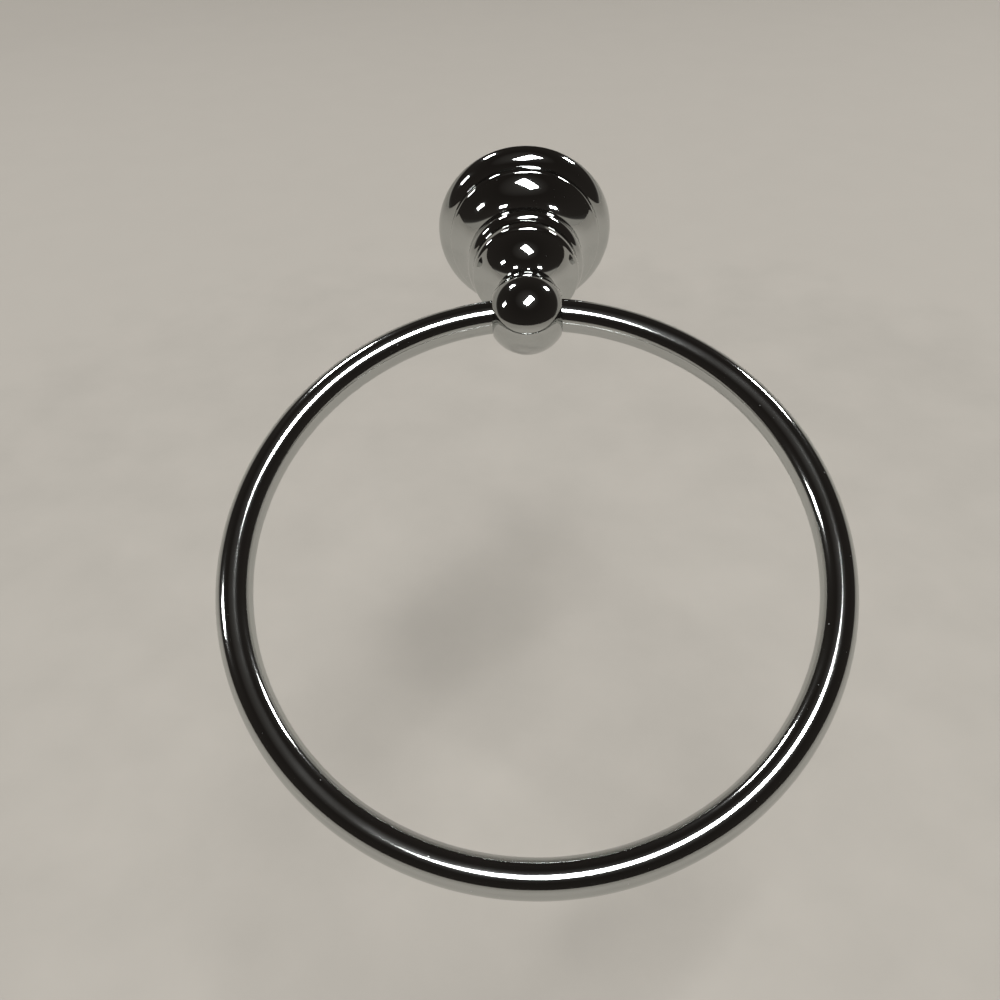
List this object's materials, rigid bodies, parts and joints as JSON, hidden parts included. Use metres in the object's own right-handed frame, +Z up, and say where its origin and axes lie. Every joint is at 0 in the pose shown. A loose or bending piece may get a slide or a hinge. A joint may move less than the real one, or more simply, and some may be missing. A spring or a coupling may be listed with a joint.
{
  "type": "towel ring",
  "caption": "Chrome towel ring: a round bar hoop that swings in the ball end of a turned post, on a stepped round wall flange over a concealed bracket.",
  "frame": {"origin": "centre of the flange's back, on the wall plane, midway between the bracket's wall screw holes", "axes": "+Y into the wall, so the post points along -Y; +Z up; X along the axis the ring swings about"},
  "size_m": [0.1648, 0.2015, 0.096],
  "materials": {
    "chrome": "polished chrome plate",
    "zinc_plate": "dull zinc plate",
    "screw_steel": "plain steel"
  },
  "bodies": {
    "mount_and_post": {"flange": "chrome", "post": "chrome", "post_screw": "screw_steel", "wall_bracket": "zinc_plate", "grub_screw": "screw_steel"},
    "ring": {"ring": "chrome"}
  },
  "joints": [
    {"name": "ring_swing", "type": "hinge", "parent": "mount_and_post", "child": "ring", "pos_m": [0, -0.055, 0], "axis": [1, 0, 0], "range_deg": [-132.5, 84.5]}
  ]
}
